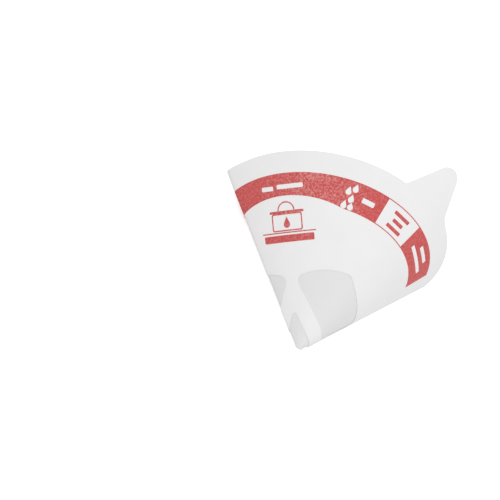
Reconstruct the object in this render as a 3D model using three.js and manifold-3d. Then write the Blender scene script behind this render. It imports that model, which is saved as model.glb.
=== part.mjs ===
// Paint strainer: a cone rolled from one sheet of card, with three cut-outs that show a fine mesh lining.
// Millimetres, +Z up. The cone lies on its side, as it comes to rest, with its tip towards -Y.
// Every place on the flat sheet is an angle round the cone's tip and a distance from that tip.

import * as THREE from 'three';
import { mergeVertices } from 'three/addons/utils/BufferGeometryUtils.js';
import Module from 'manifold-3d';

// Card sheet
const SHEET_ANGLE = 189;
const RIM_RADIUS = 140;
const CARD_THICKNESS = 0.4;
const LAP_ANGLE = 7.5;
const LAP_RISE_ANGLE = 12;
const GLUE_BITE = 0.02;

// Tabs on the rim, one on each half of the sheet
const TAB_ANGLE = 47.9;
const TAB_REACH = 170;
const TAB_TIP_ROUND = 10.5;
const TAB_NEAR_LEAN = 27.5;
const TAB_FAR_LEAN = 31;
const TAB_FILLET = 14;
const SHOULDER_RISE = 2.7;
const SHOULDER_EASE_ANGLE = 22;

// Two side windows, between the front strip and the seam strip
const WINDOW_TOP_CENTRE = [20, 12.3];
const WINDOW_TOP_RADIUS = 42.8;
const WINDOW_FAR_DISTANCE = 55.3;
const WINDOW_FAR_TURN = 18;
const WINDOW_CORNER_ROUND = 5;
const SEAM_STRIP_HALF_WIDTH = 4.5;

// Legs: the front strip forks into two straight ones that run to the seam, with the tip window between
const FORK_DISTANCE = 10.4;
const FORK_ROUND = 2.2;
const FORK_LEAN = 19.3;
const LEG_LEAN = 22;
const LEG_EDGE_DISTANCE = 22;

// Mesh lining
const MESH_THICKNESS = 0.3;
const MESH_CLEARANCE = 0.3;
const MESH_REACH = 82;
const NOSE_RADIUS = 5;
const NOSE_LENGTH = 2.4;

// Opened shape: a lens with two soft folds, as a cone that was stored flat springs open.
// The three radii belong to the section at this height above the tip.
const SECTION_HEIGHT = 100;
const FRONT_BOW = 78.5;
const BACK_BOW = 350;
const FOLD_ROUND = 6.5;
const FRONT_ANGLE = 34.8;
const REST_FLAT_ANGLE = 6;

// Facets
const STATION_STEP = 3;
const STATION_TURN = 12;
const STATION_GAP = 0.4;
const ARC_STEP = 12;
const NOSE_RINGS = 3;
const CURVE_SAMPLES = 2400;
const CUT_MARGIN = 1;
const OUTLINE_STEP = 7.5;
const STEP_SLACK = 0.01;
const HALVINGS = 40;
const MIN_ARC_SAMPLES = 24;
const WELD_DISTANCE = 1e-5;

const HALF_SHEET = SHEET_ANGLE / 2;
const TIP = new THREE.Vector2(0, 0);
const radians = THREE.MathUtils.degToRad;
const degrees = THREE.MathUtils.radToDeg;

const wasm = await Module();
wasm.setup();

// Section across the cone at the section height: tangent arcs, counterclockwise from the middle of the front
function sectionArcs(halfWidth) {
  const side = halfWidth - FOLD_ROUND;
  const frontSpread = Math.asin(side / (FRONT_BOW - FOLD_ROUND));
  const backSpread = Math.asin(side / (BACK_BOW - FOLD_ROUND));
  const frontCentre = (FRONT_BOW - FOLD_ROUND) * Math.cos(frontSpread);
  const backCentre = -(BACK_BOW - FOLD_ROUND) * Math.cos(backSpread);
  const right = frontSpread - Math.PI / 2;
  const back = Math.PI / 2 - backSpread;
  return [
    { x: 0, y: frontCentre, radius: FRONT_BOW, from: -Math.PI / 2, to: right },
    { x: side, y: 0, radius: FOLD_ROUND, from: right, to: back },
    { x: 0, y: backCentre, radius: BACK_BOW, from: back, to: Math.PI - back },
    { x: -side, y: 0, radius: FOLD_ROUND, from: Math.PI - back, to: Math.PI - right },
    { x: 0, y: frontCentre, radius: FRONT_BOW, from: Math.PI - right, to: 1.5 * Math.PI },
  ];
}

// Samples of the section: the direction of each ruling, its outward normal and the sheet angle used up
function sampleSection(halfWidth) {
  const arcs = sectionArcs(halfWidth);
  const samples = [];
  const total = arcs.reduce((sum, arc) => sum + arc.radius * (arc.to - arc.from), 0);
  let angle = 0;
  for (const arc of arcs) {
    const length = arc.radius * (arc.to - arc.from);
    const count = Math.max(MIN_ARC_SAMPLES, Math.round(CURVE_SAMPLES * length / total));
    for (let step = samples.length ? 1 : 0; step <= count; step += 1) {
      const turn = arc.from + (arc.to - arc.from) * step / count;
      const x = arc.x + arc.radius * Math.cos(turn);
      const y = arc.y + arc.radius * Math.sin(turn);
      const along = new THREE.Vector3(x, y, SECTION_HEIGHT).normalize();
      const rise = -(x * Math.cos(turn) + y * Math.sin(turn)) / SECTION_HEIGHT;
      const out = new THREE.Vector3(Math.cos(turn), Math.sin(turn), rise).normalize();
      if (samples.length) {
        angle += degrees(along.angleTo(samples.at(-1).along));
      }
      samples.push({ angle, turn: degrees(turn), along, out });
    }
  }
  return samples;
}

// The half width follows from the sheet: the section closes when it has used the whole sheet angle
function closedSection() {
  let narrow = FRONT_BOW / 2;
  let wide = FRONT_BOW;
  for (let round = 0; round < HALVINGS; round += 1) {
    const middle = (narrow + wide) / 2;
    if (sampleSection(middle).at(-1).angle < SHEET_ANGLE) {
      narrow = middle;
    } else {
      wide = middle;
    }
  }
  return sampleSection(wide);
}

const section = closedSection();

// Ruling of the cone at a sheet angle, counted from the middle of the front strip
function ruling(sheetAngle) {
  const angle = THREE.MathUtils.euclideanModulo(sheetAngle - FRONT_ANGLE, SHEET_ANGLE);
  let low = 0;
  let high = section.length - 1;
  while (high - low > 1) {
    const middle = (low + high) >> 1;
    if (section[middle].angle <= angle) {
      low = middle;
    } else {
      high = middle;
    }
  }
  const share = (angle - section[low].angle) / (section[high].angle - section[low].angle);
  return {
    along: section[low].along.clone().lerp(section[high].along, share).normalize(),
    out: section[low].out.clone().lerp(section[high].out, share).normalize(),
  };
}

// Sheet angles of the facets, closer together round the two folds, with one flat facet to rest on
function sectionStations() {
  const restStart = HALF_SHEET - REST_FLAT_ANGLE / 2;
  const restEnd = HALF_SHEET + REST_FLAT_ANGLE / 2;
  const stations = [restStart, restEnd];
  let last = section[0];
  for (const sample of section) {
    const far = sample.angle - last.angle >= STATION_STEP || sample.turn - last.turn >= STATION_TURN;
    const resting = sample.angle > restStart - STATION_GAP && sample.angle < restEnd + STATION_GAP;
    if (far || sample === section[0]) {
      last = sample;
      if (!resting) {
        stations.push(sample.angle);
      }
    }
  }
  return stations.map((angle) => angle + FRONT_ANGLE);
}

// Sorted stations between two sheet angles: the wanted ones, and the facets' where they leave room
function stationsBetween(start, end, wanted) {
  const kept = [start, end, ...wanted.filter((angle) => angle > start && angle < end)];
  for (const facet of sectionStations()) {
    const turns = Math.ceil((start - facet) / SHEET_ANGLE);
    for (let angle = facet + turns * SHEET_ANGLE; angle < end; angle += SHEET_ANGLE) {
      kept.push(angle);
    }
  }
  const isWanted = new Set([start, end, ...wanted]);
  kept.sort((a, b) => a - b);
  return kept.filter((angle, index) => {
    if (isWanted.has(angle)) {
      return angle !== kept[index - 1];
    }
    return !kept.some((other) => isWanted.has(other) && Math.abs(other - angle) < STATION_GAP);
  });
}

function polar(x, y) {
  return { angle: degrees(Math.atan2(x, y)), radius: Math.hypot(x, y) };
}

// Points of an arc on the flat sheet, with angles counted from straight out, to the right
function arcPoints(centreX, centreY, radius, from, to) {
  const count = Math.max(2, Math.ceil(Math.abs(to - from) / ARC_STEP));
  return Array.from({ length: count + 1 }, (_, step) => {
    const turn = radians(from + (to - from) * step / count);
    return polar(centreX + radius * Math.sin(turn), centreY + radius * Math.cos(turn));
  });
}

// Radius where the ray at an angle meets a chain of polar points
function radiusOnChain(chain, angle) {
  const next = chain.findIndex((point) => point.angle >= angle);
  if (next <= 0) {
    return next === 0 ? chain[0].radius : chain.at(-1).radius;
  }
  const before = chain[next - 1];
  const after = chain[next];
  const share = (angle - before.angle) / (after.angle - before.angle);
  return before.radius + (after.radius - before.radius) * share;
}

// One tab from its near notch, over the round tip and down the far fillet to the shoulder
function tabOutline() {
  const centre = TAB_REACH - TAB_TIP_ROUND;
  const near = radians(TAB_NEAR_LEAN);
  const nearX = -TAB_TIP_ROUND * Math.cos(near);
  const nearY = centre + TAB_TIP_ROUND * Math.sin(near);
  const down = nearX * Math.sin(near) + nearY * Math.cos(near);
  const drop = down - Math.sqrt(down * down - nearX * nearX - nearY * nearY + RIM_RADIUS * RIM_RADIUS);
  const notch = polar(nearX - drop * Math.sin(near), nearY - drop * Math.cos(near));
  const far = radians(TAB_FAR_LEAN);
  const shoulder = RIM_RADIUS + SHOULDER_RISE;
  const offset = TAB_TIP_ROUND + TAB_FILLET + centre * Math.sin(far);
  const filletTurn = Math.acos(offset / (shoulder + TAB_FILLET));
  const filletX = (shoulder + TAB_FILLET) * Math.cos(filletTurn + far);
  const filletY = (shoulder + TAB_FILLET) * Math.sin(filletTurn + far);
  const filletEnd = 180 + degrees(Math.atan2(filletX, filletY));
  return [
    notch,
    ...arcPoints(0, centre, TAB_TIP_ROUND, TAB_NEAR_LEAN - 90, 90 - TAB_FAR_LEAN),
    ...arcPoints(filletX, filletY, TAB_FILLET, 270 - TAB_FAR_LEAN, filletEnd),
  ];
}

// Rim of half the sheet, with the tab in the middle
function rimChain() {
  const tab = tabOutline();
  const easeEnd = Math.min(tab.at(-1).angle + SHOULDER_EASE_ANGLE, HALF_SHEET / 2);
  return [
    { angle: -HALF_SHEET / 2, radius: RIM_RADIUS },
    ...tab,
    { angle: easeEnd, radius: RIM_RADIUS },
    { angle: HALF_SHEET / 2, radius: RIM_RADIUS },
  ];
}

// Angle from the nearest of the middles that repeat once every half sheet
function fromNearest(sheetAngle, middle) {
  return THREE.MathUtils.euclideanModulo(sheetAngle - middle + HALF_SHEET / 2, HALF_SHEET) - HALF_SHEET / 2;
}

// Lower edge of the card: the round crotch of the fork, then the two straight legs down to the seam
function legRadius(sheetAngle) {
  const fromFront = THREE.MathUtils.euclideanModulo(sheetAngle + HALF_SHEET, SHEET_ANGLE) - HALF_SHEET;
  const aside = radians(Math.abs(fromFront));
  const lean = radians(FORK_LEAN);
  const straight = FORK_DISTANCE / Math.sin(lean + aside);
  const centre = (FORK_DISTANCE - FORK_ROUND) / Math.sin(lean);
  const across = centre * Math.sin(aside);
  if (aside > radians(90) || across > FORK_ROUND) {
    return straight;
  }
  const round = centre * Math.cos(aside) + Math.sqrt(FORK_ROUND * FORK_ROUND - across * across);
  return Math.min(straight, round);
}

// Point at a distance and a direction from another on the flat sheet, in degrees round from +X
function pointAt(from, direction, distance) {
  const turn = radians(direction);
  return new THREE.Vector2(from.x + distance * Math.cos(turn), from.y + distance * Math.sin(turn));
}

// Part of a convex outline behind an edge, which is given by the way it faces and its distance from the tip
function trimmed(outline, facing, distance) {
  const out = pointAt(TIP, facing, 1);
  return outline.flatMap((point, index) => {
    const next = outline[(index + 1) % outline.length];
    const beyond = point.dot(out) - distance;
    const nextBeyond = next.dot(out) - distance;
    const kept = beyond <= 0 ? [point] : [];
    if (beyond <= 0 !== nextBeyond <= 0) {
      kept.push(point.clone().lerp(next, beyond / (beyond - nextBeyond)));
    }
    return kept;
  });
}

// Convex outline grown by a radius, which turns each corner into an arc, in whole steps
function grown(outline, radius) {
  return outline.flatMap((corner, index) => {
    const before = corner.clone().sub(outline.at(index - 1));
    const after = outline[(index + 1) % outline.length].clone().sub(corner);
    const steps = Math.floor(degrees(before.angleTo(after)) / OUTLINE_STEP + STEP_SLACK);
    const first = degrees(before.angle()) - 90;
    return Array.from({ length: steps + 1 }, (_, step) => (
      pointAt(corner, first + step * OUTLINE_STEP, radius)
    ));
  });
}

// Outline of the right window on the flat sheet, with +Y up the front strip, as polar points.
// Its edges are first drawn in by the radius of its corners, and then grown by it.
function windowOutline() {
  const centre = new THREE.Vector2(...WINDOW_TOP_CENTRE);
  const topRadius = WINDOW_TOP_RADIUS - WINDOW_CORNER_ROUND / Math.cos(radians(OUTLINE_STEP / 2));
  const top = Array.from({ length: 360 / OUTLINE_STEP }, (_, step) => (
    pointAt(centre, step * OUTLINE_STEP, topRadius)
  ));
  const besideFar = trimmed(top, WINDOW_FAR_TURN, WINDOW_FAR_DISTANCE - WINDOW_CORNER_ROUND);
  const aboveLeg = trimmed(besideFar, LEG_LEAN + 180, -LEG_EDGE_DISTANCE - WINDOW_CORNER_ROUND);
  const core = trimmed(aboveLeg, -HALF_SHEET, -SEAM_STRIP_HALF_WIDTH - WINDOW_CORNER_ROUND);
  return grown(core, WINDOW_CORNER_ROUND).map((point) => polar(point.x, point.y));
}

// The outline as two chains with rising angles: the edge near the tip and the edge far from it
function windowChains() {
  const outline = windowOutline();
  const angles = outline.map((point) => point.angle);
  const first = angles.indexOf(Math.min(...angles));
  const turned = [...outline.slice(first), ...outline.slice(0, first)];
  const last = turned.findIndex((point) => point.angle === Math.max(...angles));
  const oneWay = turned.slice(0, last + 1);
  const otherWay = [turned[0], ...turned.slice(last).reverse()];
  const isNear = radiusOnChain(oneWay, HALF_SHEET / 2) < radiusOnChain(otherWay, HALF_SHEET / 2);
  return isNear ? { near: oneWay, far: otherWay } : { near: otherWay, far: oneWay };
}

// A chain's mirror image across the front strip
function mirrored(chain) {
  return chain.map((point) => ({ angle: -point.angle, radius: point.radius })).reverse();
}

// Closed slab bent round the cone between two radii and two offsets from the cone's surface
function bentSlab(stations, nearRadius, farRadius, innerOffset, outerOffset) {
  const positions = [];
  const corners = [[nearRadius, innerOffset], [farRadius, innerOffset], [farRadius, outerOffset],
    [nearRadius, outerOffset]];
  for (const angle of stations) {
    const { along, out } = ruling(angle);
    for (const [radius, offset] of corners) {
      const point = along.clone().multiplyScalar(radius(angle)).addScaledVector(out, offset(angle));
      positions.push(point.x, point.y, point.z);
    }
  }
  const indices = [];
  const last = (stations.length - 1) * 4;
  for (let base = 0; base < last; base += 4) {
    for (let corner = 0; corner < 4; corner += 1) {
      const next = (corner + 1) % 4;
      indices.push(base + corner, base + next, base + 4 + next);
      indices.push(base + corner, base + 4 + next, base + 4 + corner);
    }
  }
  indices.push(0, 2, 1, 0, 3, 2);
  indices.push(last, last + 1, last + 2, last, last + 2, last + 3);
  return asGeometry(positions, indices);
}

function asGeometry(positions, indices) {
  const geometry = new THREE.BufferGeometry();
  geometry.setAttribute('position', new THREE.Float32BufferAttribute(positions, 3));
  geometry.setIndex(indices);
  return geometry;
}

function toSolid(geometry) {
  const merged = mergeVertices(geometry, WELD_DISTANCE);
  const mesh = new wasm.Mesh({
    numProp: 3,
    vertProperties: new Float32Array(merged.attributes.position.array),
    triVerts: new Uint32Array(merged.index.array),
  });
  return new wasm.Manifold(mesh);
}

function fromSolid(solid) {
  const mesh = solid.getMesh();
  const geometry = asGeometry(Array.from(mesh.vertProperties), Array.from(mesh.triVerts));
  geometry.computeVertexNormals();
  return geometry;
}

// The sheet's first end climbs over its last end at the seam, so its offset rises by one thickness there
function sheetOffset(sheetAngle) {
  const inwards = (sheetAngle + HALF_SHEET - LAP_ANGLE / 2) / LAP_RISE_ANGLE;
  return (CARD_THICKNESS - GLUE_BITE) * (1 - THREE.MathUtils.smoothstep(inwards, 0, 1));
}

// One turn of card, in two halves that meet at the front strip and are glued at the seam behind
function cardSheet() {
  const rim = rimChain();
  const farRadius = (angle) => radiusOnChain(rim, fromNearest(angle, TAB_ANGLE));
  const inner = (angle) => sheetOffset(angle);
  const outer = (angle) => sheetOffset(angle) + CARD_THICKNESS;
  const wanted = [];
  for (const half of [-2, -1, 0, 1]) {
    wanted.push((half + 0.5) * HALF_SHEET, half * HALF_SHEET);
    wanted.push(...rim.slice(1, -1).map((point) => TAB_ANGLE + half * HALF_SHEET + point.angle));
  }
  wanted.push(-HALF_SHEET + LAP_ANGLE / 2, HALF_SHEET - LAP_ANGLE / 2);
  wanted.push(-HALF_SHEET + LAP_ANGLE / 2 + LAP_RISE_ANGLE / 2, -HALF_SHEET + LAP_ANGLE / 2 + LAP_RISE_ANGLE);
  const end = HALF_SHEET + LAP_ANGLE / 2;
  const halves = [[-end, 0], [0, end]].map(([start, stop]) => {
    const stations = stationsBetween(start, stop, wanted);
    return toSolid(bentSlab(stations, legRadius, farRadius, inner, outer));
  });
  return halves[0].add(halves[1]);
}

function windowCut(near, far) {
  const start = near[0].angle + STATION_GAP / 4;
  const end = near.at(-1).angle - STATION_GAP / 4;
  const wanted = [...far, ...near].map((point) => point.angle);
  const stations = stationsBetween(start, end, wanted);
  const nearRadius = (angle) => radiusOnChain(near, angle);
  const farRadius = (angle) => radiusOnChain(far, angle);
  const inner = () => -CUT_MARGIN;
  const outer = () => 2 * CARD_THICKNESS + CUT_MARGIN;
  return toSolid(bentSlab(stations, nearRadius, farRadius, inner, outer));
}

function paperCone() {
  const { near, far } = windowChains();
  const right = windowCut(near, far);
  const left = windowCut(mirrored(near), mirrored(far));
  return fromSolid(cardSheet().subtract(left).subtract(right));
}

// One skin of the lining, from its top edge down to a domed nose, as rows of points and a pole
function liningSkin(stations, offset) {
  const rows = [MESH_REACH, NOSE_RADIUS].map((radius) => stations.map((angle) => {
    const { along, out } = ruling(angle);
    return along.multiplyScalar(radius).addScaledVector(out, offset);
  }));
  const brim = rows.at(-1);
  const centre = brim.reduce((sum, point) => sum.add(point), new THREE.Vector3()).divideScalar(brim.length);
  const length = NOSE_LENGTH + offset;
  for (let ring = 1; ring < NOSE_RINGS; ring += 1) {
    const turn = Math.PI / 2 * ring / NOSE_RINGS;
    const drop = new THREE.Vector3(0, 0, -length * Math.sin(turn));
    const base = centre.clone().add(drop);
    rows.push(brim.map((point) => point.clone().sub(centre).multiplyScalar(Math.cos(turn)).add(base)));
  }
  return { rows, pole: centre.clone().add(new THREE.Vector3(0, 0, -length)) };
}

function meshFilter() {
  const stations = stationsBetween(FRONT_ANGLE, FRONT_ANGLE + SHEET_ANGLE, []).slice(0, -1);
  const outer = liningSkin(stations, -MESH_CLEARANCE);
  const inner = liningSkin(stations, -MESH_CLEARANCE - MESH_THICKNESS);
  const count = stations.length;
  const loops = [...outer.rows.toReversed(), ...inner.rows];
  const positions = [outer.pole, ...loops.flat(), inner.pole].flatMap((point) => point.toArray());
  const indices = [];
  const place = (loop, step) => 1 + loop * count + step % count;
  const last = 1 + loops.length * count;
  for (let step = 0; step < count; step += 1) {
    indices.push(0, place(0, step + 1), place(0, step));
    for (let loop = 0; loop < loops.length - 1; loop += 1) {
      const [a, b] = [place(loop, step), place(loop, step + 1)];
      const [c, d] = [place(loop + 1, step + 1), place(loop + 1, step)];
      indices.push(a, b, c, a, c, d);
    }
    indices.push(last, place(loops.length - 1, step), place(loops.length - 1, step + 1));
  }
  const geometry = asGeometry(positions, indices);
  geometry.computeVertexNormals();
  return geometry;
}

// Angle between the cone's axis and the flat facet behind, which the cone lies on
function restAngle() {
  const edge = ruling(FRONT_ANGLE + HALF_SHEET - REST_FLAT_ANGLE / 2).along;
  return Math.atan2(edge.y, edge.z);
}

const card = new THREE.MeshStandardMaterial({ color: 0xf2f2f1, roughness: 0.8, metalness: 0 });
const nylon = new THREE.MeshStandardMaterial({ color: 0xdededf, roughness: 0.7, metalness: 0 });

const paper = new THREE.Mesh(paperCone(), card);
paper.name = 'paper_cone';
const lining = new THREE.Mesh(meshFilter(), nylon);
lining.name = 'mesh_filter';

// The cone is built on its tip, then laid back on its flat facet and centred over its bounds
const cone = new THREE.Group();
cone.add(paper, lining);
cone.rotation.x = restAngle() - Math.PI / 2;
cone.updateMatrixWorld(true);
const bounds = new THREE.Box3().setFromObject(cone, true);
const middle = bounds.getCenter(new THREE.Vector3());
cone.position.set(-middle.x, -middle.y, -bounds.min.z);

const strainer = new THREE.Group();
strainer.add(cone);
strainer.updateMatrixWorld(true);

export default strainer;
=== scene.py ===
"""Paint strainer: a cone rolled from printed white card, lined with fine nylon mesh, lying on its side."""
import math

import bmesh
import bpy
from mathutils import Matrix, Vector


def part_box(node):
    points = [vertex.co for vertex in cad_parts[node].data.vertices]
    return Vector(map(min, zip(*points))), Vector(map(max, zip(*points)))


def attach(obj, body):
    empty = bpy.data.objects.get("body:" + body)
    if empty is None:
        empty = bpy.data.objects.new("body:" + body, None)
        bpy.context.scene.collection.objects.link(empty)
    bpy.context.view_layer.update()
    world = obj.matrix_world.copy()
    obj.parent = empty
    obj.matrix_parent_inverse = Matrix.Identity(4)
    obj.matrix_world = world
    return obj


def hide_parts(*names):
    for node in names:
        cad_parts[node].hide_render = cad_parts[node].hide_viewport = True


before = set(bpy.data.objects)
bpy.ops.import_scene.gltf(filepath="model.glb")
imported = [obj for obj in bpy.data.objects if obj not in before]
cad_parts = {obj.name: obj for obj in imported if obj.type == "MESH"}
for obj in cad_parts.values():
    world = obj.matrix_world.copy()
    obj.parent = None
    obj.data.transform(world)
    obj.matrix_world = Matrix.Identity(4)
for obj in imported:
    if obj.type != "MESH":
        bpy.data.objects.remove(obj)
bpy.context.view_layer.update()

# The card cone: one sheet of uncoated white board of about 0.4 mm, die-cut with two windows, a forked tip
# and two rim tabs, then rolled with its first end lapped over its last and glued there.
# Every place on the flat sheet is in millimetres from the point where the cone's tip would be.
MM = 0.001
TIP = (0, 0)
SHEET_ANGLE = 189
HALF_SHEET = SHEET_ANGLE / 2
RIM_RADIUS = 140
CARD = 0.4
LAP_GLUE = 0.03
LAP_ANGLE = 7.5
LAP_RISE_ANGLE = 12

TAB_ANGLE = 47.9
TAB_REACH = 170
TAB_TIP_ROUND = 10.5
TAB_NEAR_LEAN = math.radians(27.5)
TAB_FAR_LEAN = math.radians(31)
TAB_FILLET = 14
SHOULDER_RISE = 2.7
SHOULDER_EASE_ANGLE = 22

WINDOW_TOP_CENTRE = (20, 12.3)
WINDOW_TOP_RADIUS = 42.8
WINDOW_FAR_DISTANCE = 55.3
WINDOW_FAR_TURN = math.radians(72)
WINDOW_CORNER_ROUND = 5
SEAM_STRIP_HALF_WIDTH = 4.5
FORK_DISTANCE = 10.4
FORK_ROUND = 2.2
FORK_LEAN = math.radians(19.3)
LEG_LEAN = math.radians(22)
LEG_EDGE_DISTANCE = 22

# The opened cone's section at this height above the tip, a lens that is deep in front and flat behind
SECTION_HEIGHT = 100
FRONT_BOW = 78.5
BACK_BOW = 350
FOLD_ROUND = 6.5
FRONT_ANGLE = 34.8
REST_FLAT_ANGLE = 6

# How finely the curves are followed
SAMPLES_PER_MM = 6
LEAST_ARC_SAMPLES = 40
SECTION_HALVINGS = 28
ARC_STEP = math.radians(5)
RIM_STEP = math.radians(2)
WINDOW_TOP_STEP = math.radians(3)
CORNER_STEP = math.radians(10)
EASE_STEPS = 11
BEND_STEP = 1.0
BEND_TOLERANCE = 1e-5

CARD_WHITE = 0xF6F5F5
CARD_SHADE = 0xF0EFEF
PULP_CLOUD_SIZE = 18 * MM
FIBRE_SIZE = 0.9 * MM
FIBRE_HEIGHT = 0.05 * MM


def section_arcs(half_width):
    """The section across the cone: centre x and y, radius, start and end turn of each tangent arc."""
    side = half_width - FOLD_ROUND
    front_spread = math.asin(side / (FRONT_BOW - FOLD_ROUND))
    back_spread = math.asin(side / (BACK_BOW - FOLD_ROUND))
    front = (FRONT_BOW - FOLD_ROUND) * math.cos(front_spread)
    back = (FOLD_ROUND - BACK_BOW) * math.cos(back_spread)
    start = front_spread - math.pi / 2
    end = math.pi / 2 - back_spread
    return (
        (0, front, FRONT_BOW, -math.pi / 2, start),
        (side, 0, FOLD_ROUND, start, end),
        (0, back, BACK_BOW, end, math.pi - end),
        (-side, 0, FOLD_ROUND, math.pi - end, math.pi - start),
        (0, front, FRONT_BOW, math.pi - start, 1.5 * math.pi),
    )


def sample_section(half_width):
    """Rulings round the cone: sheet angle used up, direction and outward normal."""
    samples = []
    angle = 0
    for x0, y0, radius, start, end in section_arcs(half_width):
        count = max(LEAST_ARC_SAMPLES, round(SAMPLES_PER_MM * radius * (end - start)))
        for step in range(1 if samples else 0, count + 1):
            turn = start + (end - start) * step / count
            across = Vector((math.cos(turn), math.sin(turn), 0))
            place = Vector((x0, y0, SECTION_HEIGHT)) + across * radius
            along = place.normalized()
            out = (across - Vector((0, 0, place.dot(across) / SECTION_HEIGHT))).normalized()
            if samples:
                angle += math.degrees(along.angle(samples[-1][1]))
            samples.append((angle, along, out))
    return samples


def closed_section():
    """The half width for which the section closes after exactly one sheet angle."""
    narrow = FRONT_BOW / 2
    wide = FRONT_BOW
    for _ in range(SECTION_HALVINGS):
        middle = (narrow + wide) / 2
        if sample_section(middle)[-1][0] < SHEET_ANGLE:
            narrow = middle
        else:
            wide = middle
    return sample_section(wide)


section = closed_section()


def curved_ruling(angle):
    """Direction and outward normal on the curved section, at an angle counted from its front."""
    low = 0
    high = len(section) - 1
    while high - low > 1:
        middle = (low + high) // 2
        if section[middle][0] <= angle:
            low = middle
        else:
            high = middle
    share = (angle - section[low][0]) / (section[high][0] - section[low][0])
    along = section[low][1].lerp(section[high][1], share).normalized()
    return along, section[low][2].lerp(section[high][2], share).normalized()


rest_edges = [curved_ruling(HALF_SHEET + side * REST_FLAT_ANGLE / 2) for side in (-1, 1)]


def ruling(sheet_angle):
    """Direction and outward normal at a sheet angle, flat where the cone rests on its back."""
    angle = (sheet_angle - FRONT_ANGLE) % SHEET_ANGLE
    share = (angle - HALF_SHEET) / REST_FLAT_ANGLE + 0.5
    if not 0 < share < 1:
        return curved_ruling(angle)
    (start_along, start_out), (end_along, end_out) = rest_edges
    return start_along.lerp(end_along, share).normalized(), start_out.lerp(end_out, share)


def smooth_share(value):
    """A share that leaves 0 and reaches 1 without a corner."""
    value = min(1, max(0, value))
    return value * value * (3 - 2 * value)


def lap_offset(sheet_angle):
    """The first end of the sheet climbs by one thickness, over the last end."""
    inwards = (sheet_angle + HALF_SHEET - LAP_ANGLE / 2) / LAP_RISE_ANGLE
    return (CARD + LAP_GLUE) * (1 - smooth_share(inwards))


def card_outside(sheet_angle):
    """How far the outer face of the card stands out from the cone that it is rolled to."""
    return lap_offset(sheet_angle) + CARD


# The cone is laid down on its flat side
rest_along, rest_out = rest_edges[0]
LAID_DOWN = Matrix.Rotation(math.atan2(rest_along.y, rest_along.z) - math.pi / 2, 4, "X")


def bend(x, y, offset):
    """A place on the flat sheet, in mm, moved to the rolled cone in metres; offset is along its normal."""
    along, out = ruling(math.degrees(math.atan2(x, y)))
    return LAID_DOWN @ (along * math.hypot(x, y) + out * offset) * MM


def polar(x, y):
    return math.atan2(x, y), math.hypot(x, y)


def flat(angle, radius):
    return radius * math.sin(angle), radius * math.cos(angle)


def arc(centre, radius, start, end, step=ARC_STEP):
    """Points of an arc; turns are in radians from straight out, to the right."""
    count = max(2, math.ceil(abs(end - start) / step))
    turns = [start + (end - start) * k / count for k in range(count + 1)]
    return [(centre[0] + radius * math.sin(t), centre[1] + radius * math.cos(t)) for t in turns]


def turned(points, degrees):
    """Points of the flat sheet, turned about the tip."""
    cosine = math.cos(math.radians(degrees))
    sine = math.sin(math.radians(degrees))
    return [(x * cosine + y * sine, y * cosine - x * sine) for x, y in points]


def mirrored(outline):
    """An outline's mirror image, across the front strip."""
    return [(-x, y) for x, y in reversed(outline)]


def tab_outline():
    """One rim tab about its own middle line: notch, straight flank, round tip, flank and hollow fillet."""
    middle = TAB_REACH - TAB_TIP_ROUND
    near_x = -TAB_TIP_ROUND * math.cos(TAB_NEAR_LEAN)
    near_y = middle + TAB_TIP_ROUND * math.sin(TAB_NEAR_LEAN)
    down = near_x * math.sin(TAB_NEAR_LEAN) + near_y * math.cos(TAB_NEAR_LEAN)
    drop = down - math.sqrt(down * down - near_x ** 2 - near_y ** 2 + RIM_RADIUS ** 2)
    notch = (near_x - drop * math.sin(TAB_NEAR_LEAN), near_y - drop * math.cos(TAB_NEAR_LEAN))
    reach = RIM_RADIUS + SHOULDER_RISE + TAB_FILLET
    offset = TAB_TIP_ROUND + TAB_FILLET + middle * math.sin(TAB_FAR_LEAN)
    turn = math.acos(offset / reach) + TAB_FAR_LEAN
    fillet = (reach * math.cos(turn), reach * math.sin(turn))
    fillet_end = math.pi + math.atan2(*fillet)
    tip = arc((0, middle), TAB_TIP_ROUND, TAB_NEAR_LEAN - math.pi / 2, math.pi / 2 - TAB_FAR_LEAN)
    return [notch] + tip + arc(fillet, TAB_FILLET, 1.5 * math.pi - TAB_FAR_LEAN, fillet_end)


def rim_outline():
    """The rim from the sheet's left end to its right end, with both tabs."""
    tab = tab_outline()
    tab_start = math.degrees(polar(*tab[0])[0])
    tab_end = math.degrees(polar(*tab[-1])[0])
    angle = -HALF_SHEET - LAP_ANGLE / 2
    end = HALF_SHEET + LAP_ANGLE / 2
    outline = []
    for place in (TAB_ANGLE - HALF_SHEET, TAB_ANGLE):
        outline += arc(TIP, RIM_RADIUS, math.radians(angle), math.radians(place + tab_start), RIM_STEP)[:-1]
        outline += turned(tab, place)
        for step in range(1, EASE_STEPS):
            share = step / EASE_STEPS
            ease = math.radians(place + tab_end + SHOULDER_EASE_ANGLE * share)
            outline.append(flat(ease, RIM_RADIUS + SHOULDER_RISE * (1 - share)))
        angle = place + tab_end + SHOULDER_EASE_ANGLE
    outline += arc(TIP, RIM_RADIUS, math.radians(angle), math.radians(end), RIM_STEP)
    return outline


def leg_outline():
    """The tip end of the sheet, right to left: a straight leg, the round crotch of the fork and a leg."""
    end = math.radians(HALF_SHEET)
    lap = math.radians(LAP_ANGLE / 2)
    seam = flat(end, FORK_DISTANCE / math.sin(FORK_LEAN + end))
    tail = flat(end + lap, FORK_DISTANCE / math.sin(FORK_LEAN + end - lap))
    centre = (0, (FORK_DISTANCE - FORK_ROUND) / math.sin(FORK_LEAN))
    crotch = arc(centre, FORK_ROUND, math.pi / 2 - FORK_LEAN, FORK_LEAN - math.pi / 2, CORNER_STEP)
    return [tail, seam] + crotch + [(-seam[0], seam[1]), (-tail[0], tail[1])]


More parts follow.
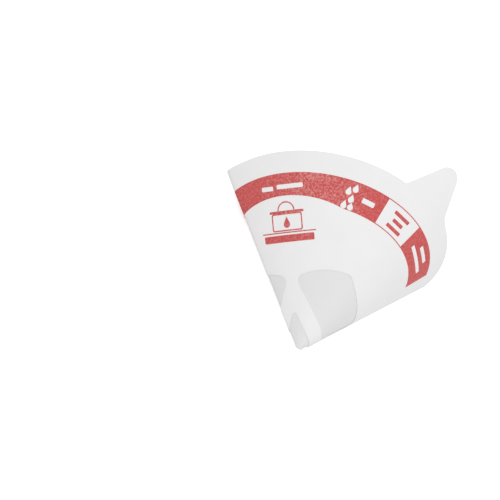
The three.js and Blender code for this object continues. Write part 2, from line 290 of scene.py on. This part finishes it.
def corner_on_top(turn, distance):
    """Centre of the corner arc between the window's top and a straight edge with the given normal."""
    inset = WINDOW_TOP_RADIUS - WINDOW_CORNER_ROUND
    centre = Vector(WINDOW_TOP_CENTRE)
    normal = Vector((math.sin(turn), math.cos(turn)))
    off = distance - normal.dot(centre)
    return centre + normal * off + Vector((-normal.y, normal.x)) * math.sqrt(inset * inset - off * off)


def corner_of_edges(turn_a, distance_a, turn_b, distance_b):
    """Centre of the corner arc between two straight edges, from their normals and distances."""
    a = Vector((math.sin(turn_a), math.cos(turn_a)))
    b = Vector((math.sin(turn_b), math.cos(turn_b)))
    cross = a.x * b.y - a.y * b.x
    return Vector((distance_a * b.y - distance_b * a.y, distance_b * a.x - distance_a * b.x)) / cross


def window_outline():
    """The right window, clockwise from the corner at the front strip: top, far side, seam side and leg."""
    leg = math.pi / 2 - LEG_LEAN
    seam = math.radians(HALF_SHEET) - math.pi / 2
    leg_line = LEG_EDGE_DISTANCE + WINDOW_CORNER_ROUND
    far_line = WINDOW_FAR_DISTANCE - WINDOW_CORNER_ROUND
    seam_line = SEAM_STRIP_HALF_WIDTH + WINDOW_CORNER_ROUND
    first = corner_on_top(leg, leg_line)
    second = corner_on_top(WINDOW_FAR_TURN, far_line)
    third = corner_of_edges(WINDOW_FAR_TURN, far_line, seam, seam_line)
    fourth = corner_of_edges(seam, seam_line, leg, leg_line)
    top = [math.atan2(*(corner - Vector(WINDOW_TOP_CENTRE))) for corner in (first, second)]
    outline = arc(first, WINDOW_CORNER_ROUND, leg - math.pi, top[0], CORNER_STEP)
    outline += arc(WINDOW_TOP_CENTRE, WINDOW_TOP_RADIUS, top[0], top[1], WINDOW_TOP_STEP)[1:-1]
    outline += arc(second, WINDOW_CORNER_ROUND, top[1], WINDOW_FAR_TURN, CORNER_STEP)
    outline += arc(third, WINDOW_CORNER_ROUND, WINDOW_FAR_TURN, seam + math.pi, CORNER_STEP)
    return outline + arc(fourth, WINDOW_CORNER_ROUND, seam + math.pi, leg + math.pi, CORNER_STEP)


def flat_cut(outline, holes=()):
    """A flat blank with its holes, scored along the rulings so that it can be bent."""
    bm = bmesh.new()
    for loop in (outline, *holes):
        verts = [bm.verts.new((x, y, 0)) for x, y in loop]
        for k, vert in enumerate(verts):
            bm.edges.new((vert, verts[k - 1]))
    bmesh.ops.triangle_fill(bm, use_beauty=True, edges=bm.edges[:], normal=(0, 0, 1))
    angles = [math.degrees(polar(*point)[0]) for point in outline]
    score = math.floor(min(angles)) + BEND_STEP
    while score < max(angles):
        cosine = math.cos(math.radians(score))
        sine = math.sin(math.radians(score))
        ahead = [face for face in bm.faces if face.calc_center_median().dot(Vector((sine, cosine, 0))) > 0]
        edges = dict.fromkeys(edge for face in ahead for edge in face.edges)
        verts = dict.fromkeys(vert for face in ahead for vert in face.verts)
        bmesh.ops.bisect_plane(bm, geom=[*ahead, *edges, *verts], dist=BEND_TOLERANCE,
                               plane_co=(0, 0, 0), plane_no=(cosine, -sine, 0))
        score += BEND_STEP
    bmesh.ops.recalc_face_normals(bm, faces=bm.faces[:])
    if bm.faces[0].normal.z < 0:
        bmesh.ops.reverse_faces(bm, faces=bm.faces[:])
    return bm


def rolled(bm, name, inner, outer):
    """Bend a flat blank into a closed slab between two offsets, each a function of the sheet angle."""
    bm.verts.ensure_lookup_table()
    places = [(v.co.x, v.co.y) for v in bm.verts]
    angles = [math.degrees(polar(*place)[0]) for place in places]
    count = len(places)
    points = [bend(x, y, outer(angle)) for (x, y), angle in zip(places, angles)]
    points += [bend(x, y, inner(angle)) for (x, y), angle in zip(places, angles)]
    faces = [[v.index for v in f.verts] for f in bm.faces]
    back = [[count + k for k in reversed(face)] for face in faces]
    rim = []
    for edge in bm.edges:
        if len(edge.link_faces) == 1:
            loop = edge.link_loops[0]
            start = loop.vert.index
            end = loop.link_loop_next.vert.index
            rim.append([end, start, count + start, count + end])
    mesh = bpy.data.meshes.new(name)
    mesh.from_pydata([point + FRAME_PLACE for point in points], [], faces + back + rim)
    sheet_map = mesh.uv_layers.new(name="flat_sheet")
    for loop in mesh.loops:
        sheet_map.data[loop.index].uv = places[loop.vertex_index % count]
    mesh.polygons.foreach_set("use_smooth", [True] * len(mesh.polygons))
    mesh.update()
    edges = {edge.key: edge.index for edge in mesh.edges}
    for a, b, c, d in rim:
        for key in ((a, b), (c, d)):
            mesh.edges[edges[tuple(sorted(key))]].use_edge_sharp = True
    bm.free()
    piece = bpy.data.objects.new(name, mesh)
    bpy.context.scene.collection.objects.link(piece)
    return piece


def linear(hex_colour):
    """An sRGB hex colour as the linear values that shaders take."""
    channels = [(hex_colour >> shift & 255) / 255 for shift in (16, 8, 0)]
    return tuple(c / 12.92 if c < 0.04045 else ((c + 0.055) / 1.055) ** 2.4 for c in channels) + (1,)


def add_node(material, kind, settings=None, inputs=None, links=None):
    """Add one shader node; links maps an input to another node's output."""
    node = material.node_tree.nodes.new(kind)
    for name, value in (settings or {}).items():
        setattr(node, name, value)
    for name, value in (inputs or {}).items():
        node.inputs[name].default_value = value
    for name, output in (links or {}).items():
        material.node_tree.links.new(output, node.inputs[name])
    return node


def new_material(name):
    material = bpy.data.materials.new(name)
    material.use_nodes = True
    material.node_tree.nodes.clear()
    return material


def board_material():
    """Uncoated white board: matt, a little fibrous, with faint cloudy tone from the pulp."""
    material = new_material("uncoated_white_board")
    place = add_node(material, "ShaderNodeTexCoord")
    pulp = add_node(material, "ShaderNodeTexNoise", None,
                    {"Scale": 1 / PULP_CLOUD_SIZE, "Detail": 3}, {"Vector": place.outputs["Object"]})
    fibre = add_node(material, "ShaderNodeTexNoise", None,
                     {"Scale": 1 / FIBRE_SIZE, "Detail": 4, "Roughness": 0.6},
                     {"Vector": place.outputs["Object"]})
    tone = add_node(material, "ShaderNodeMix", {"data_type": "RGBA"},
                    {"A": linear(CARD_SHADE), "B": linear(CARD_WHITE)}, {"Factor": pulp.outputs["Fac"]})
    bump = add_node(material, "ShaderNodeBump", None,
                    {"Strength": 0.12, "Distance": FIBRE_HEIGHT}, {"Height": fibre.outputs["Fac"]})
    shader = add_node(material, "ShaderNodeBsdfPrincipled", None,
                      {"Roughness": 0.72, "IOR": 1.45, "Specular IOR Level": 0.3},
                      {"Base Color": tone.outputs["Result"], "Normal": bump.outputs["Normal"]})
    add_node(material, "ShaderNodeOutputMaterial", None, None, {"Surface": shader.outputs["BSDF"]})
    return material


# The move that puts the lying cone where the frame has it: centred in X, with its mouth as far along Y as
# the frame's card, and with the outside of its flat side on the ground
rim_places = [bend(x, y, 0) for x, y in rim_outline()]
rim_sides = [place.x for place in rim_places]
FRAME_PLACE = Vector((
    -(max(rim_sides) + min(rim_sides)) / 2,
    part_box("paper_cone")[1].y - max(place.y for place in rim_places),
    -(LAID_DOWN @ rest_out).z * CARD * MM,
))

right_window = window_outline()
blank = flat_cut(rim_outline() + leg_outline(), [right_window, mirrored(right_window)])
card_cone = rolled(blank, "card_cone", lap_offset, card_outside)
card_cone.data.materials.append(board_material())
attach(card_cone, "root")
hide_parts("paper_cone")

# The printed band: red offset ink on the outside of the card, in a long field over the front and a short one
# at each side. Between them two thin lines frame a white field with bars. Drops and bars are left out of the
# ink, so the card shows there, and the rough board leaves the ink mottled.
BAND_OUTER = 124.8
BAND_INNER = 104
BAND_CROWN = 109
CROWN_MIDDLE = -2
CROWN_SLOPE = 0.0083
LABEL_START = 36.4
LABEL_END = 52.2
BAND_END = 77.1
LINE = 0.7
CUT_CORNER = 0.7

# A drop is given by its sheet angle and distance, a mark by its sheet angle and width, and a bar by its
# width and distance
DROP_RADIUS = 2.1
DROP_HEIGHT = 4.3
DROP_LEAN = 4
DROPS = ((22.6, 116.3), (24.7, 119.2), (24.3, 111.3), (22.3, 106.2), (24.9, 106.3))
MARK_RADIUS = 115.4
MARK_HEIGHT = 3.2
MARKS = ((-6.8, 9.4), (1.8, 19.6))
SYMBOL_PLACE = (30.5, 114.2)
SYMBOL_WIDTH = 9.6
SYMBOL_HEIGHT = 3.6
LABEL_BARS = ((15, 119), (10, 113.8), (14, 108.6))
LABEL_BAR_HEIGHT = 2.6
LABEL_BAR_CORNER = 0.5
END_MIDDLE = 63.8
END_BARS = ((17, 118.6), (29, 112))
END_BAR_HEIGHT = 3

FIELD_STEP = 1
BAR_CORNER_STEP = math.radians(30)
DROP_STEP = math.radians(15)
INK_FILM = 0.04
INK_LIFT = 0.03
INK_RED = 0xD05452
INK_DEEP = 0xC64746
INK_THIN = 0xE9AAA6
SPECK_SIZE = 1.5 * MM
INK_CLOUD_SIZE = 14 * MM
WORN_PLACE = (22, 112, 0)
WORN_REACH = (12, 45)


def round_bar(width, height, corner):
    """A rounded bar about its own centre."""
    w = width / 2 - corner
    h = height / 2 - corner
    points = []
    for quarter, centre in enumerate(((w, h), (w, -h), (-w, -h), (-w, h))):
        start = quarter * math.pi / 2
        points += arc(centre, corner, start, (quarter + 1) * math.pi / 2, BAR_CORNER_STEP)
    return points


def drop_shape(radius, height):
    """A water drop about the centre of its round end, with its point outwards."""
    lean = math.acos(radius / height)
    return [(0, height)] + arc(TIP, radius, lean, 2 * math.pi - lean, DROP_STEP)


def placed(points, angle, radius, spin=0):
    """A small outline, turned by its own spin and then moved to a sheet angle and distance."""
    return turned([(x, y + radius) for x, y in turned(points, spin)], angle)


def ring_field(start, end, inner, outer):
    """A field of the band between two sheet angles; inner is a function of the angle."""
    outline = arc(TIP, outer, math.radians(start), math.radians(end), math.radians(FIELD_STEP))
    steps = max(2, math.ceil(abs(end - start) / FIELD_STEP))
    for k in range(steps + 1):
        angle = end + (start - end) * k / steps
        outline.append(flat(math.radians(angle), inner(angle)))
    return outline


def ink_inside(sheet_angle):
    """The ink's inner face, just proud of the card."""
    return card_outside(sheet_angle) + INK_LIFT


def ink_outside(sheet_angle):
    return ink_inside(sheet_angle) + INK_FILM


def printed(name, outline, holes=()):
    """One field of ink: a thin film just proud of the card."""
    piece = rolled(flat_cut(outline, holes), name, ink_inside, ink_outside)
    piece.data.materials.append(ink)
    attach(piece, "root")
    return piece


def ink_material():
    """Red offset ink on rough board: dense in places, thin and speckled where the fibres stand up."""
    material = new_material("red_offset_ink")
    place = add_node(material, "ShaderNodeTexCoord")
    speck = add_node(material, "ShaderNodeTexNoise", None,
                     {"Scale": 1 / SPECK_SIZE, "Detail": 6, "Roughness": 0.7},
                     {"Vector": place.outputs["Object"]})
    cloud = add_node(material, "ShaderNodeTexNoise", None,
                     {"Scale": 1 / INK_CLOUD_SIZE, "Detail": 2}, {"Vector": place.outputs["Object"]})
    thin = add_node(material, "ShaderNodeMapRange", None,
                    {"From Min": 0.44, "From Max": 0.7}, {"Value": speck.outputs["Fac"]})
    sheet = add_node(material, "ShaderNodeUVMap", {"uv_map": "flat_sheet"})
    away = add_node(material, "ShaderNodeVectorMath", {"operation": "DISTANCE"},
                    {1: WORN_PLACE}, {0: sheet.outputs["UV"]})
    patch = add_node(material, "ShaderNodeMapRange", None,
                     {"From Min": WORN_REACH[0], "From Max": WORN_REACH[1], "To Min": 1, "To Max": 0.4},
                     {"Value": away.outputs["Value"]})
    worn = add_node(material, "ShaderNodeMath", {"operation": "MULTIPLY"}, None,
                    {0: thin.outputs["Result"], 1: patch.outputs["Result"]})
    body = add_node(material, "ShaderNodeMix", {"data_type": "RGBA"},
                    {"A": linear(INK_DEEP), "B": linear(INK_RED)}, {"Factor": cloud.outputs["Fac"]})
    colour = add_node(material, "ShaderNodeMix", {"data_type": "RGBA"}, {"B": linear(INK_THIN)},
                      {"Factor": worn.outputs["Value"], "A": body.outputs["Result"]})
    shader = add_node(material, "ShaderNodeBsdfPrincipled", None,
                      {"Roughness": 0.6, "Specular IOR Level": 0.3}, {"Base Color": colour.outputs["Result"]})
    add_node(material, "ShaderNodeOutputMaterial", None, None, {"Surface": shader.outputs["BSDF"]})
    return material


def band_inner(angle):
    """The band's inner edge, which leaves more room above the emblem."""
    return max(BAND_INNER, BAND_CROWN - CROWN_SLOPE * (angle - CROWN_MIDDLE) ** 2)


def bar_places(bars, height, corner, angle):
    """Bars one below the other at a sheet angle, given by their widths and distances."""
    return [placed(round_bar(width, height, corner), angle, radius) for width, radius in bars]


ink = ink_material()
drop = drop_shape(DROP_RADIUS, DROP_HEIGHT)
drops = [placed(drop, angle, radius, DROP_LEAN) for angle, radius in DROPS]
marks = []
for angle, width in MARKS:
    marks.append(placed(round_bar(width, MARK_HEIGHT, CUT_CORNER), angle, MARK_RADIUS, -angle))
symbol = placed(round_bar(SYMBOL_WIDTH, SYMBOL_HEIGHT, CUT_CORNER), *SYMBOL_PLACE)
left_cuts = [mirrored(shape) for shape in [*drops, symbol]]
band = ring_field(-LABEL_START, LABEL_START, band_inner, BAND_OUTER)
printed("print_band", band, [*drops, *marks, symbol, *left_cuts])

for side, word in ((1, "right"), (-1, "left")):
    ends = sorted((side * LABEL_END, side * BAND_END))
    bars = bar_places(END_BARS, END_BAR_HEIGHT, CUT_CORNER, side * END_MIDDLE)
    printed(f"print_end_{word}", ring_field(*ends, lambda angle: BAND_INNER, BAND_OUTER), bars)
    ends = sorted((side * LABEL_START, side * LABEL_END))
    for edge, radius in (("outer", BAND_OUTER), ("inner", BAND_INNER + LINE)):
        printed(f"print_line_{edge}_{word}", ring_field(*ends, lambda angle: radius - LINE, radius))
    label_middle = side * (LABEL_START + LABEL_END) / 2
    for row, bar in enumerate(bar_places(LABEL_BARS, LABEL_BAR_HEIGHT, LABEL_BAR_CORNER, label_middle)):
        printed(f"print_label_{word}_{row}", bar)

# The emblem over the front strip: a plain paint tin with a drop on it, above a thin rule and a solid bar, in
# the same ink as the band. Each height is counted from the middle of the bar.
EMBLEM_ANGLE = -0.3
EMBLEM_BAR_RADIUS = 79
EMBLEM_BAR_WIDTH = 38
EMBLEM_BAR_HEIGHT = 5
EMBLEM_BAR_CORNER = 0.8
RULE_WIDTH = 41
RULE_THICKNESS = 0.8
RULE_CORNER = 0.3
RULE_RISE = 4.2
OUTLINE = 0.9
TIN_WIDTH = 23
TIN_HEIGHT = 12.5
TIN_CORNER = 1.5
TIN_INSIDE_CORNER = 0.9
TIN_RISE = 11.4
TIN_DROP_RADIUS = 2.4
TIN_DROP_HEIGHT = 5.6
TIN_DROP_RISE = 9.8
LID_OVERHANG = 1.5
LID_THICKNESS = 1.8
LID_CORNER = 0.8
LID_RISE = 18.6
HANDLE_RADIUS = 6.5
HANDLE_RISE = 19.5
HANDLE_STEP = math.radians(8)


def emblem(name, outline, rise=0, holes=()):
    """One piece of the emblem, raised above the middle of its bar."""
    radius = EMBLEM_BAR_RADIUS + rise
    return printed(name, placed(outline, EMBLEM_ANGLE, radius),
                   [placed(hole, EMBLEM_ANGLE, radius) for hole in holes])


def tin_handle():
    """A half hoop over the lid, of the same line as the tin's outline."""
    outer = arc(TIP, HANDLE_RADIUS, -math.pi / 2, math.pi / 2, HANDLE_STEP)
    return outer + arc(TIP, HANDLE_RADIUS - OUTLINE, math.pi / 2, -math.pi / 2, HANDLE_STEP)


emblem("print_emblem_bar", round_bar(EMBLEM_BAR_WIDTH, EMBLEM_BAR_HEIGHT, EMBLEM_BAR_CORNER))
emblem("print_emblem_rule", round_bar(RULE_WIDTH, RULE_THICKNESS, RULE_CORNER), RULE_RISE)
tin_inside = round_bar(TIN_WIDTH - 2 * OUTLINE, TIN_HEIGHT - 2 * OUTLINE, TIN_INSIDE_CORNER)
emblem("print_emblem_tin", round_bar(TIN_WIDTH, TIN_HEIGHT, TIN_CORNER), TIN_RISE, [tin_inside])
emblem("print_emblem_drop", drop_shape(TIN_DROP_RADIUS, TIN_DROP_HEIGHT), TIN_DROP_RISE)
emblem("print_emblem_lid", round_bar(TIN_WIDTH + 2 * LID_OVERHANG, LID_THICKNESS, LID_CORNER), LID_RISE)
emblem("print_emblem_handle", tin_handle(), HANDLE_RISE)

# The mesh lining: woven nylon monofilament, rolled to the same cone inside the card and closed at a blunt
# tip. Its threads are finer than a pixel here, so the weave is drawn three times as coarse as it is.
MESH_THICKNESS = 0.3
MESH_CLEARANCE = 0.05
MESH_REACH = 82
NOSE_RADIUS = 5
NOSE_LENGTH = 2.4
NOSE_RINGS = 6
LINING_FACETS = 126
LINING_ROWS = 22
THREAD_PITCH = 0.9
THREAD_HEIGHT = 0.08 * MM
NYLON_LIGHT = 0xEAEAEA
NYLON_DARK = 0xE0E0E1


def lining_skin(stations, radii, offset):
    """One skin from the top edge down to a domed nose, as loops of points round the cone and a pole."""
    rays = [ruling(angle) for angle in stations]
    skin = [[along * radius + out * offset for along, out in rays] for radius in radii]
    brim = skin[-1]
    centre = sum(brim, Vector()) / len(brim)
    length = NOSE_LENGTH + offset
    for ring in range(1, NOSE_RINGS):
        turn = math.pi / 2 * ring / NOSE_RINGS
        sunk = Vector((0, 0, length * math.sin(turn)))
        skin.append([(point - centre) * math.cos(turn) + centre - sunk for point in brim])
    skin.append([centre - Vector((0, 0, length))])
    return skin


def faces_between(loops):
    """Faces from each loop of points to the next; a loop of one point is a pole."""
    faces = []
    start = 0
    for loop, following in zip(loops, loops[1:]):
        below = start + len(loop)
        count = max(len(loop), len(following))
        for step in range(count):
            after = (step + 1) % count
            if len(loop) == 1:
                faces.append([start, below + after, below + step])
            elif len(following) == 1:
                faces.append([start + step, start + after, below])
            else:
                faces.append([start + step, start + after, below + after, below + step])
        start = below
    return faces


def mesh_lining():
    """The outer skin from its pole to its top edge, and the inner skin back down to its pole."""
    stations = [FRONT_ANGLE + SHEET_ANGLE * k / LINING_FACETS for k in range(LINING_FACETS)]
    radii = [MESH_REACH - (MESH_REACH - NOSE_RADIUS) * k / LINING_ROWS for k in range(LINING_ROWS + 1)]
    outer = lining_skin(stations, radii, -MESH_CLEARANCE)
    inner = lining_skin(stations, radii, -MESH_CLEARANCE - MESH_THICKNESS)
    loops = outer[::-1] + inner
    heights = radii + [NOSE_RADIUS * (1 - k / NOSE_RINGS) for k in range(1, NOSE_RINGS + 1)]
    places = []
    for loop, height in zip(loops, heights[::-1] + heights):
        places += [flat(math.radians(angle), height) for angle in stations[:len(loop)]]
    mesh = bpy.data.meshes.new("nylon_lining")
    points = [LAID_DOWN @ point * MM + FRAME_PLACE for loop in loops for point in loop]
    mesh.from_pydata(points, [], faces_between(loops))
    sheet_map = mesh.uv_layers.new(name="flat_sheet")
    for loop in mesh.loops:
        sheet_map.data[loop.index].uv = places[loop.vertex_index]
    mesh.polygons.foreach_set("use_smooth", [True] * len(mesh.polygons))
    piece = bpy.data.objects.new("nylon_lining", mesh)
    bpy.context.scene.collection.objects.link(piece)
    return piece


def nylon_material():
    """Woven nylon monofilament: greyish white, soft, with a fine over-and-under of crossing threads."""
    material = new_material("woven_nylon")
    sheet = add_node(material, "ShaderNodeUVMap", {"uv_map": "flat_sheet"})
    # At a scale of 1 a wave texture repeats after pi / 10
    waves = []
    for direction in ("X", "Y"):
        wave = add_node(material, "ShaderNodeTexWave", {"bands_direction": direction},
                        {"Scale": math.pi / 10 / THREAD_PITCH}, {"Vector": sheet.outputs["UV"]})
        waves.append(wave.outputs["Fac"])
    weave = add_node(material, "ShaderNodeMath", {"operation": "MAXIMUM"}, None, dict(enumerate(waves)))
    tone = add_node(material, "ShaderNodeMix", {"data_type": "RGBA"},
                    {"A": linear(NYLON_DARK), "B": linear(NYLON_LIGHT)}, {"Factor": weave.outputs["Value"]})
    bump = add_node(material, "ShaderNodeBump", None,
                    {"Strength": 0.2, "Distance": THREAD_HEIGHT}, {"Height": weave.outputs["Value"]})
    shader = add_node(material, "ShaderNodeBsdfPrincipled", None,
                      {"Roughness": 0.55, "IOR": 1.53, "Specular IOR Level": 0.3},
                      {"Base Color": tone.outputs["Result"], "Normal": bump.outputs["Normal"]})
    add_node(material, "ShaderNodeOutputMaterial", None, None, {"Surface": shader.outputs["BSDF"]})
    return material


lining = mesh_lining()
lining.data.materials.append(nylon_material())
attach(lining, "root")
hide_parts("mesh_filter")

# The studio: a white table that only shows the soft shadow, and wide soft light from above, stronger from
# the left. To the camera the table glows a little and the air round it is white.
TABLE_SIZE = 4.0
TABLE_DROP = 0.2 * MM
TABLE_WHITE = 0xF4F4F4
TABLE_GLOW = 0.62
AIR_WHITE = 0xFFFFFF
SKY_STRENGTH = 0.65
LIT_PLACE = (0, 0, 0.04)
KEY_PLACE = (-0.9, -0.5, 1.3)
KEY_SIZE = 0.9
KEY_POWER = 6.5
FILL_PLACE = (1.1, -0.6, 0.9)
FILL_SIZE = 1.0
FILL_POWER = 4.5


def table_material():
    """Matt white laminate: it takes the soft shadow, and glows towards the camera alone."""
    material = new_material("white_table")
    shade = add_node(material, "ShaderNodeBsdfDiffuse", None, {"Color": linear(TABLE_WHITE)})
    glow = add_node(material, "ShaderNodeEmission", None, {"Strength": TABLE_GLOW})
    both = add_node(material, "ShaderNodeAddShader", None, None,
                    {0: shade.outputs["BSDF"], 1: glow.outputs["Emission"]})
    path = add_node(material, "ShaderNodeLightPath")
    seen = add_node(material, "ShaderNodeMixShader", None, None,
                    {"Fac": path.outputs["Is Camera Ray"], 1: shade.outputs["BSDF"],
                     2: both.outputs["Shader"]})
    add_node(material, "ShaderNodeOutputMaterial", None, None, {"Surface": seen.outputs["Shader"]})
    return material


def light_the_air():
    """A soft even sky for the object, and plain white for the camera."""
    world = bpy.data.worlds.new("studio")
    bpy.context.scene.world = world
    world.use_nodes = True
    world.node_tree.nodes.clear()
    white = linear(AIR_WHITE)
    sky = add_node(world, "ShaderNodeBackground", None, {"Strength": SKY_STRENGTH, "Color": white})
    paper_white = add_node(world, "ShaderNodeBackground", None, {"Strength": 1.0, "Color": white})
    path = add_node(world, "ShaderNodeLightPath")
    seen = add_node(world, "ShaderNodeMixShader", None, None,
                    {"Fac": path.outputs["Is Camera Ray"], 1: sky.outputs["Background"],
                     2: paper_white.outputs["Background"]})
    add_node(world, "ShaderNodeOutputWorld", None, None, {"Surface": seen.outputs["Shader"]})


def soft_box(name, place, aim, size, power):
    """A square area light that points at a place on the object."""
    light = bpy.data.lights.new(name, "AREA")
    light.size = size
    light.energy = power
    lamp = bpy.data.objects.new(name, light)
    lamp.location = place
    lamp.rotation_euler = (Vector(aim) - Vector(place)).to_track_quat("-Z", "Y").to_euler()
    bpy.context.scene.collection.objects.link(lamp)


bpy.ops.mesh.primitive_plane_add(size=TABLE_SIZE, location=(0, 0, -TABLE_DROP))
table = bpy.context.object
table.name = "table"
table.data.materials.append(table_material())
light_the_air()
soft_box("key_light", KEY_PLACE, LIT_PLACE, KEY_SIZE, KEY_POWER)
soft_box("fill_light", FILL_PLACE, LIT_PLACE, FILL_SIZE, FILL_POWER)

# The camera: far off with a long lens, looking down from the front left, and rolled as the photograph is.
# It is aimed so that the cone's tip falls where the photograph has it.
CAMERA_AZIMUTH = math.radians(-28.7)
CAMERA_ELEVATION = math.radians(39.9)
CAMERA_ROLL = math.radians(49.6)
CAMERA_DISTANCE = 2.476
IMAGE_SIZE = 500
PIXELS_PER_METRE = 1440
TIP_PIXEL = (297.6, 351.5)
SENSOR = 36

level = Vector((math.cos(CAMERA_AZIMUTH), math.sin(CAMERA_AZIMUTH), 0))
outwards = Vector((math.sin(CAMERA_AZIMUTH), -math.cos(CAMERA_AZIMUTH), 0))
back = outwards * math.cos(CAMERA_ELEVATION) + Vector((0, 0, math.sin(CAMERA_ELEVATION)))
upright = back.cross(level)
right = level * math.cos(CAMERA_ROLL) + upright * math.sin(CAMERA_ROLL)
up = upright * math.cos(CAMERA_ROLL) - level * math.sin(CAMERA_ROLL)
aim = FRAME_PLACE + right * ((IMAGE_SIZE / 2 - TIP_PIXEL[0]) / PIXELS_PER_METRE)
aim += up * ((TIP_PIXEL[1] - IMAGE_SIZE / 2) / PIXELS_PER_METRE)
eye = FRAME_PLACE + back * CAMERA_DISTANCE
view_back = (eye - aim).normalized()
view_right = (right - view_back * right.dot(view_back)).normalized()
view_up = view_back.cross(view_right)
lens = bpy.data.cameras.new("camera")
lens.sensor_width = SENSOR
lens.lens = PIXELS_PER_METRE * CAMERA_DISTANCE * SENSOR / IMAGE_SIZE
camera = bpy.data.objects.new("camera", lens)
camera.matrix_world = Matrix((view_right, view_up, view_back)).transposed().to_4x4()
camera.location = eye
bpy.context.scene.collection.objects.link(camera)
bpy.context.scene.camera = camera

bpy.context.scene.view_settings.view_transform = "Standard"
